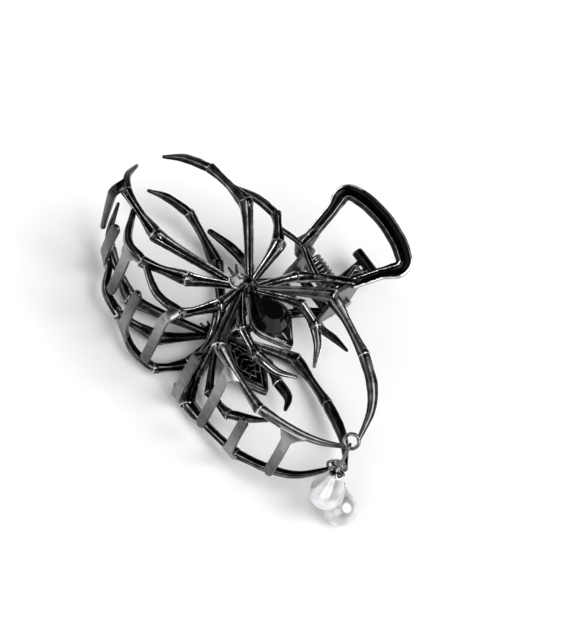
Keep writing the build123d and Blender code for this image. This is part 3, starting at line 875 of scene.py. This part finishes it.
def fillet_route(rows):
    """(point, width) rows along a route of straight runs joined by arcs."""
    points = [Vector((x, y)) for x, y, _, _ in rows]
    line = [(points[0], rows[0][2])]
    for i in range(1, len(rows) - 1):
        before, after = points[i - 1] - points[i], points[i + 1] - points[i]
        limit = bend_share * min(before.length, after.length)
        before, after = before.normalized(), after.normalized()
        half = before.angle(after) / 2
        setback = min(rows[i][3] / tan(half), limit)
        radius = setback * tan(half)
        arm = points[i] + before * setback
        centre = points[i] + (before + after).normalized() * (radius / sin(half))
        arm -= centre
        turn = arm.angle_signed(points[i] + after * setback - centre)
        count = max(4, round(abs(turn) * radius / handle_step))
        for k in range(count + 1):
            line.append((centre + Matrix.Rotation(-turn * k / count, 2) @ arm, rows[i][2]))
    line.append((points[-1], rows[-1][2]))
    dense = []
    for (p, v), (q, w) in zip(line, line[1:]):
        count = max(1, round((q - p).length / (2 * handle_step)))
        for t in (k / count for k in range(count)):
            dense.append((p.lerp(q, t), mix(v, w, smooth(0, 1, t))))
    return dense + [line[-1]]


# Section of the handle's channel, from its outer edge to its inner one and back underneath.
# Columns: across (half widths, outward positive), height (half thicknesses), painted light (painted
# highlights on the flanges, painted shade in the channel)
channel = (
    (1.0, -0.5, 0.7), (1.0, 0.5, 0.9), (0.94, 0.92, 1.0), (0.84, 1.0, 0.9), (0.74, 0.9, 0.6),
    (0.64, 0.4, 0.1), (0.46, 0.1, 0.0), (0.1, 0.0, 0.0), (-0.22, 0.06, 0.0), (-0.38, 0.34, 0.1),
    (-0.46, 0.74, 1.0), (-0.54, 0.78, 1.0), (-0.6, 0.6, 0.2), (-0.8, 0.4, 0.1),
    (-0.97, 0.22, 0.3), (-1.0, -0.1, 0.6), (-0.92, -0.8, 0.5), (-0.6, -1.0, 0.3),
    (0.0, -0.96, 0.2), (0.7, -1.0, 0.3), (0.93, -0.9, 0.5),
)


def loop_handle(cast):
    """The wide loop of the front jaw with its channel."""
    half = [(across * handle_half_width, reach * handle_reach, width * handle_band, bend)
            for across, reach, width, bend in handle_route]
    route = fillet_route([(-x, y, w, bend) for x, y, w, bend in half[:-1]] + half[::-1])
    origin = Vector((0, 0, handle_root_out * jaw_depth))
    lean = radians(handle_flare)
    rise = Vector((0, cos(lean), sin(lean)))
    up = Vector((0, -sin(lean), cos(lean)))
    rings = []
    for (point, width), way in zip(route, tangents([point for point, _ in route])):
        ring = []
        for across, height, shine in channel:
            flat = point + Vector((-way.y, way.x)) * (across * width / 2)
            lift = up * (height * handle_thickness / 2)
            ring.append((origin + x_way * flat.x + rise * flat.y + lift, shine))
        rings.append(ring)
    cast.shell(rings)


def lever(cast):
    """The small forked lever of the rear jaw."""
    root = at(limbs["hinge_strut"][-1], rear)
    root.x = 0
    end = Vector((0, lever_reach, -lever_drop))
    fork = root.lerp(end, lever_fork_share)
    bar = Vector((lever_half_bar - lever_bar_radius, 0, 0))
    arm = bar - Vector((lever_bar_radius, 0, 0))
    bar *= lever_bar_reach
    cross = Vector((rear_ear_spacing / 2 - ear_thickness, 0, 0))
    stem, thin = lever_stem_radius, lever_arm_radius
    # Columns: from, to, radius at each end (mm), roundness of the ends
    bars = (
        (root, fork, (stem, 1.3 * thin), 1.0),
        (end - bar, end + bar, (lever_bar_radius, lever_bar_radius), 0.3),
        (root - cross, root + cross, (0.9 * stem, 0.9 * stem), 0.3),
        (fork, end + arm, (1.15 * thin, 0.9 * thin), 1.0),
        (fork, end - arm, (1.15 * thin, 0.9 * thin), 1.0),
    )
    for first, last, radii, blunt in bars:
        taper(cast, first, last, radii, 16, lever_shine, blunt)


def eyelet_normal(side):
    """The direction through the eyelet."""
    along, down, out = eyelet_lean
    return Vector((along, -down, side * out)).normalized()


def thorax(cast, side):
    """The lump where the legs meet, with a rib toward each leg."""
    centre = at(thorax_place, side)
    rings = []
    count = 4 * thorax_ribs
    for k in range(1, thorax_rings):
        a = pi * k / thorax_rings
        ring = []
        for i in range(count):
            b = 2 * pi * i / count
            rib = 0.5 + 0.5 * cos(thorax_ribs * b)
            r = thorax_radius * (0.88 + thorax_rib_depth * rib * sin(a))
            point = Vector((r * sin(a) * cos(b), r * sin(a) * sin(b), 0.95 * r * cos(a)))
            # Painted highlight on each rib and painted shade between them
            ring.append((centre + point, thorax_shine * rib))
        rings.append(ring)
    cast.shell(rings)


def jaw(name, side, shapes, teeth, spacing, extras, materials):
    """One cast half of the clip."""
    cast = Cast()
    thorax(cast, side)
    for label, stations in shapes.items():
        finish = SATIN if side == front and label in pale_limbs else CAST
        limb(cast, stations, side, not label.endswith("strut"), finish)
    for row in teeth:
        tooth(cast, row, side, shapes)
    thorns(cast, side)
    eyelet = at(eyelet_places[side], side)
    wire_ring(cast, eyelet, eyelet_normal(side), eyelet_radius, eyelet_wire)
    ears(cast, spacing, side)
    head_cup(cast, side)
    bezel(cast, side)
    extras(cast)
    return cast.build(name, materials)


def drop_lines(side, hook_way, link_way, pearl_way):
    """Where a drop hangs: the middle and normal of its cap's loop, the pearl's top and way."""
    normal = eyelet_normal(side)
    inward = (hook_way - normal * hook_way.dot(normal)).normalized()
    hook = at(eyelet_places[side], side) + inward * eyelet_radius
    tangent = normal.cross(inward)
    flat = (tangent - link_way * tangent.dot(link_way)).normalized()
    end = hook + link_way * (link_length - 3 * link_wire - eyelet_wire - link_gap)
    overlap = link_wire + cap_loop_wire + link_gap
    neck = cap_loop_radius + cap_neck + cap_wall + cap_gap
    if pearl_way is None:
        reach = cap_loop_radius - overlap + neck + pearl_length - pearl_radius
        rise = (pearl_radius - (end.z + jaw_depth + knee_radius)) / reach
        level = Vector(rear_pearl_heading).normalized() * sqrt(1 - rise * rise)
        pearl_way = Vector((level.x, level.y, rise))
    loop = end + pearl_way * (cap_loop_radius - overlap)
    across = flat.cross(link_way)
    loop_normal = (across - pearl_way * across.dot(pearl_way)).normalized()
    return loop, loop_normal, loop + pearl_way * neck, pearl_way


def pearl_row(height):
    """Radius of the drop-shaped pearl at a height below its top."""
    low = pearl_length - pearl_radius
    lean = asin((pearl_radius - pearl_top_radius) / (low - pearl_top_radius))
    if height < pearl_top_radius * (1 - sin(lean)):
        return sqrt(max(0, pearl_top_radius ** 2 - (pearl_top_radius - height) ** 2))
    if height > low - pearl_radius * sin(lean):
        return sqrt(max(0, pearl_radius ** 2 - (height - low) ** 2))
    return (pearl_radius - (low - height) * sin(lean)) / cos(lean)


def pearl(name, top, way, material):
    """A drop-shaped pearl with the shallow creases and swells of a grown one."""
    cast = Cast()
    rings = []
    for k in range(1, pearl_rings):
        height = pearl_length * 0.5 * (1 - cos(pi * k / pearl_rings))
        depth = pearl_crease * (1 - smooth(0.2, 0.75, height / pearl_length))
        ring = []
        for a, radial in spokes(*around(way), pearl_sides):
            crease = (0.5 + 0.5 * cos(pearl_creases * a + crease_twist * height)) ** 6
            swell = 0.5 + 0.5 * sin(pearl_swells * a + swell_twist * height)
            r = pearl_row(height) * (1 - depth * crease - pearl_swell * swell)
            ring.append((top + way * height + radial * r, 0.5))
        rings.append(ring)
    cast.shell(rings)
    return cast.build(name, (material,), sharp=80)


def petal_cap(name, loop, loop_normal, top, way, materials):
    """A bead cap of leaves that curl over the pearl's top, with its neck and loop."""
    cast = Cast()
    inner = pearl_top_radius + cap_gap
    middle = top + way * pearl_top_radius
    layers = []
    for lift, order in ((0, range(cap_rings, -1, -1)), (1, range(cap_rings + 1))):
        for k in order:
            ring = []
            for a, radial in spokes(*around(way), cap_sides):
                u = abs((a * petals / (2 * pi)) % 1 * 2 - 1)
                edge = radians(mix(petal_gap_angle, petal_tip_angle, 1 - u ** petal_round))
                turn = mix(0.05, edge, k / cap_rings)
                border = smooth(0.72, 0.92, k / cap_rings) + smooth(0.8, 0.98, u)
                border = min(1, border + smooth(0.12, 0.0, u))
                r = inner + lift * (cap_wall - petal_relief * (1 - border))
                point = middle + (radial * sin(turn) - way * cos(turn)) * r
                # Painted highlight along each leaf's border and painted shade between, on the outer
                # layer only
                ring.append((point, border * 0.9 * lift))
            layers.append(ring)
    cast.shell(layers)
    neck = [loop + way * (cap_loop_radius + (cap_neck + 0.3) * i / 4) for i in range(5)]
    rod(cast, neck, cap_neck_radii, shine=0.8)
    wire_ring(cast, loop, loop_normal, cap_loop_radius, cap_loop_wire)
    return cast.build(name, materials)


def rounded(points):
    """A line of points with its corners rounded off."""
    result = [points[0]]
    for a, b, c in zip(points, points[1:], points[2:]):
        first, last = (b + (end - b).normalized() * spring_elbow for end in (a, c))
        result += [first.lerp(b, i / 6).lerp(b.lerp(last, i / 6), i / 6) for i in range(7)]
    return result + [points[-1]]


def spring_lines():
    """The middle lines of the spring's coil with its rear arm, and of its front arm."""
    coil_radius = pin_radius + coil_clearance + wire_radius
    root = handle_root_out * jaw_depth
    flare = radians(handle_flare)
    rise = (lever_drop - root) * spring_foot / lever_reach
    unders = {front: root + spring_foot * tan(flare) - handle_thickness / 2 / cos(flare),
              rear: root + rise - lever_stem_radius}
    elbows, leans = {}, {}
    for side, under in unders.items():
        elbow = Vector((0, spring_foot, under - wire_radius - spring_gap))
        leans[side] = atan2(elbow.z, elbow.y) + asin(coil_radius / elbow.length)
        elbows[side] = Vector((0, elbow.y, side * elbow.z))
    turn = 2 * pi * coil_turns + leans[front] + leans[rear] - pi
    half = turn / (2 * pi) * coil_pitch / 2
    count = round(turn / radians(coil_step))
    coil = []
    for t in (i / count for i in range(count + 1)):
        a = pi / 2 - leans[rear] + turn * t
        coil.append(Vector((mix(-half, half, t), coil_radius * cos(a), coil_radius * sin(a))))
    foot = (front_ear_spacing - ear_thickness) / 2 - ear_gap - wire_radius
    rear_arm = rounded([elbows[rear], elbows[rear] - x_way * half, coil[0]])
    front_arm = rounded([coil[-1], elbows[front] + x_way * half, elbows[front] + x_way * foot])
    return rear_arm[:-1] + coil, front_arm


def wire(name, line, material):
    """A piece of spring wire along a line."""
    cast = Cast()
    rod(cast, line, [wire_radius] * len(line))
    return cast.build(name, (material,), sharp=60)


def new_material(name):
    """A material, its node tree and its shader."""
    material = bpy.data.materials.new(name)
    material.use_nodes = True
    tree = material.node_tree
    return material, tree, next(n for n in tree.nodes if n.type == "BSDF_PRINCIPLED")


def fill(node, values):
    """Sets unlinked inputs of a shader node by their names."""
    for label, value in values.items():
        node.inputs[label].default_value = value


def join(source, output, node, label):
    """Links an output of one shader node to an input of another."""
    node.id_data.links.new(source.outputs[output], node.inputs[label])


def ramp(tree, source, stops):
    """A grey ramp through (position, value) stops."""
    node = tree.nodes.new("ShaderNodeValToRGB")
    elements = node.color_ramp.elements
    while len(elements) < len(stops):
        elements.new(0.5)
    for element, (position, value) in zip(elements, stops):
        element.position = position
        element.color = (value, value, value * 1.02, 1)
    tree.links.new(source, node.inputs["Fac"])
    return node


def noise(tree, scale, detail):
    """Noise fixed to the object's own coordinates."""
    place = tree.nodes.new("ShaderNodeTexCoord")
    node = tree.nodes.new("ShaderNodeTexNoise")
    fill(node, {"Scale": scale, "Detail": detail})
    join(place, "Object", node, "Vector")
    return node


def spread(tree, source, low, high):
    """A value between two others, from the middle range of a noise."""
    node = tree.nodes.new("ShaderNodeMapRange")
    fill(node, {"From Min": 0.3, "From Max": 0.7, "To Min": low, "To Max": high})
    tree.links.new(source, node.inputs["Value"])
    return node


def metal(name, stops, roughness, bump, by_shine=True):
    """Plated metal whose base colour can follow the painted light of each point, as painted
    highlights and painted shade, broken up by clouding.
    """
    material, tree, shader = new_material(name)
    fill(shader, {"Metallic": 1.0})
    cloud = noise(tree, cloud_scale, 4.0)
    value = cloud.outputs["Fac"]
    if by_shine:
        shine = tree.nodes.new("ShaderNodeAttribute")
        shine.attribute_name = "shine"
        centred = spread(tree, cloud.outputs["Fac"], -cloud_shine, cloud_shine)
        total = tree.nodes.new("ShaderNodeMath")
        join(shine, "Fac", total, 0)
        join(centred, "Result", total, 1)
        value = total.outputs[0]
    # With painted light, the base colour carries painted shade where it is low and painted
    # highlights where it is high
    join(ramp(tree, value, stops), "Color", shader, "Base Color")
    rough = spread(tree, cloud.outputs["Fac"], *roughness)
    join(rough, "Result", shader, "Roughness")
    relief = tree.nodes.new("ShaderNodeBump")
    fill(relief, {"Strength": bump, "Distance": relief_depth})
    join(noise(tree, grain_scale, 3.0), "Fac", relief, "Height")
    join(relief, "Normal", shader, "Normal")
    return material


def glass(name, stops, transmission, ior):
    """A cut stone: small cells of its depth show through lighter or darker."""
    material, tree, shader = new_material(name)
    place = tree.nodes.new("ShaderNodeTexCoord")
    cells = tree.nodes.new("ShaderNodeTexVoronoi")
    fill(cells, {"Scale": cell_scale})
    join(place, "Object", cells, "Vector")
    join(ramp(tree, cells.outputs["Color"], stops), "Color", shader, "Base Color")
    fill(shader, {"Roughness": 0.03, "Transmission Weight": transmission, "IOR": ior})
    return material


def pearl_coat():
    """Pearl coating: pale, softly glossy, with faint clouding."""
    material, tree, shader = new_material("pearl_coat")
    cloud = noise(tree, pearl_cloud_scale, 3.0)
    tint = ramp(tree, cloud.outputs["Fac"], ((0.35, 0.52), (0.65, 0.8)))
    join(tint, "Color", shader, "Base Color")
    fill(shader, {"Metallic": 0.6, "Roughness": 0.3, "Coat Weight": 0.5, "Coat Roughness": 0.15})
    return material


def paint(node, material):
    """Gives a CAD node its material."""
    mesh = frame["nodes"][node].data
    mesh.materials.clear()
    mesh.materials.append(material)


def view():
    """The camera above the front spider, turned with the clip."""
    toward = Vector((0.2359, -0.4407, 0.8673))
    upward = Vector((-0.7754, 0.453, 0.4411))
    rightward = Vector((0.5863, 0.7759, 0.2347))
    aim_right, aim_up = -11.484, -12.164
    pixels_per_mm = 3.648
    distance = 1.2
    image_height = 640
    aim = hinge + (rightward * aim_right + upward * aim_up) * mm
    data = bpy.data.cameras.new("camera")
    data.sensor_width = 36.0
    data.lens = pixels_per_mm * data.sensor_width * distance / mm / image_height
    data.clip_start, data.clip_end = 0.01, 20.0
    camera = add("camera", data)
    turn = Matrix((rightward, upward, toward)).transposed().to_4x4()
    camera.matrix_world = Matrix.Translation(aim + toward * distance) @ turn
    bpy.context.scene.camera = camera


def studio():
    """A pale floor, a world that is bright round the horizon, and soft lamps."""
    scene = bpy.context.scene
    mesh = bpy.data.meshes.new("floor")
    size = 3.0
    corners = [(-size, -size, 0), (size, -size, 0), (size, size, 0), (-size, size, 0)]
    mesh.from_pydata(corners, [], [(0, 1, 2, 3)])
    floor = add("floor", mesh)
    floor.location.z = -0.00002
    material, _, shader = new_material("floor")
    fill(shader, {"Base Color": (0.95, 0.95, 0.955, 1), "Roughness": 0.8})
    mesh.materials.append(material)

    world = bpy.data.worlds.new("studio")
    scene.world = world
    world.use_nodes = True
    tree = world.node_tree
    place = tree.nodes.new("ShaderNodeTexCoord")
    split = tree.nodes.new("ShaderNodeSeparateXYZ")
    join(place, "Generated", split, "Vector")
    sky = ramp(tree, split.outputs["Z"], ((0.0, 1.0), (0.15, 0.7), (0.35, 0.08), (1.0, 0.03)))
    join(sky, "Color", tree.nodes["Background"], "Color")
    # Columns: direction toward the lamp, irradiance (W/m2), width (degrees)
    lamps = (
        ((0.5, 0.25, 0.9), 2.75, 50.0),
        ((-0.6, -0.5, 0.6), 0.9, 60.0),
        ((0.2, -0.7, 0.5), 0.9, 50.0),
    )
    for toward, strength, width in lamps:
        light = bpy.data.lights.new("soft_lamp", "SUN")
        light.energy = strength
        light.angle = radians(width)
        lamp = add("soft_lamp", light)
        lamp.rotation_mode = "QUATERNION"
        lamp.rotation_quaternion = (-Vector(toward)).to_track_quat("-Z", "Y")
    scene.view_settings.view_transform = "Standard"


view()
studio()
# Columns: name, ramp of (painted light, grey) that puts painted shade and highlights into the base
# colour, roughness from and to, relief
gunmetal = metal("gunmetal", ((0.1, 0.008), (0.45, 0.05), (0.75, 0.18), (1.0, 0.72)),
                 (0.1, 0.25), 0.5)
satin = metal("satin_gunmetal", ((0.0, 0.015), (0.25, 0.065), (0.6, 0.14), (1.0, 0.28)),
              (0.24, 0.38), 0.15)
wire_steel = metal("spring_wire", ((0.3, 0.08), (0.7, 0.24)), (0.16, 0.3), 0.1, by_shine=False)
pin_steel = metal("pin_steel", ((0.3, 0.12), (0.7, 0.25)), (0.18, 0.3), 0.1, by_shine=False)
# Columns: name, ramp of (cell, grey), transmission, index of refraction
clear = glass("clear_stone", ((0.3, 0.12), (0.45, 0.6), (0.6, 1.0)), 0.5, 2.0)
black = glass("black_stone", ((0.3, 0.0008), (0.7, 0.0015)), 0.0, 1.5)
coating = pearl_coat()

paint("hinge_pin", pin_steel)
coil_line, arm_line = spring_lines()
coil = wire("spring_coil", coil_line, wire_steel)
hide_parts("torsion_spring")
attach(coil, "rear_half")
arm = wire("spring_arm", arm_line, wire_steel)
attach(arm, "front_half")
# Columns: side, name, limbs, teeth, ear spacing, what it has alone, how its drop lies
halves = (
    (front, "front", limbs, front_teeth, front_ear_spacing, loop_handle,
     (Vector(front_drop_way).normalized(),) * 3),
    (rear, "rear", rear_limbs, rear_teeth, rear_ear_spacing, lever,
     (Vector(rear_hook_way), Vector(rear_link_way).normalized(), None)),
)
for side, label, shapes, teeth, spacing, extras, ways in halves:
    loop, loop_normal, top, way = drop_lines(side, *ways)
    half = jaw(label + "_jaw_cast", side, shapes, teeth, spacing, extras, (gunmetal, satin))
    drop = pearl(label + "_pearl_drop", top, way, coating)
    leaves = petal_cap(label + "_petal_cap", loop, loop_normal, top, way, (gunmetal,))
    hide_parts(label + "_jaw")
    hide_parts(label + "_pearl")
    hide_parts(label + "_bead_cap")
    for piece, slot in ((half, "gunmetal"), (drop, "pearl"), (leaves, "gunmetal")):
        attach(piece, label + "_half")
    paint(label + "_head_stone", clear)
    paint(label + "_abdomen_stone", black)
    paint(label + "_link", pin_steel)
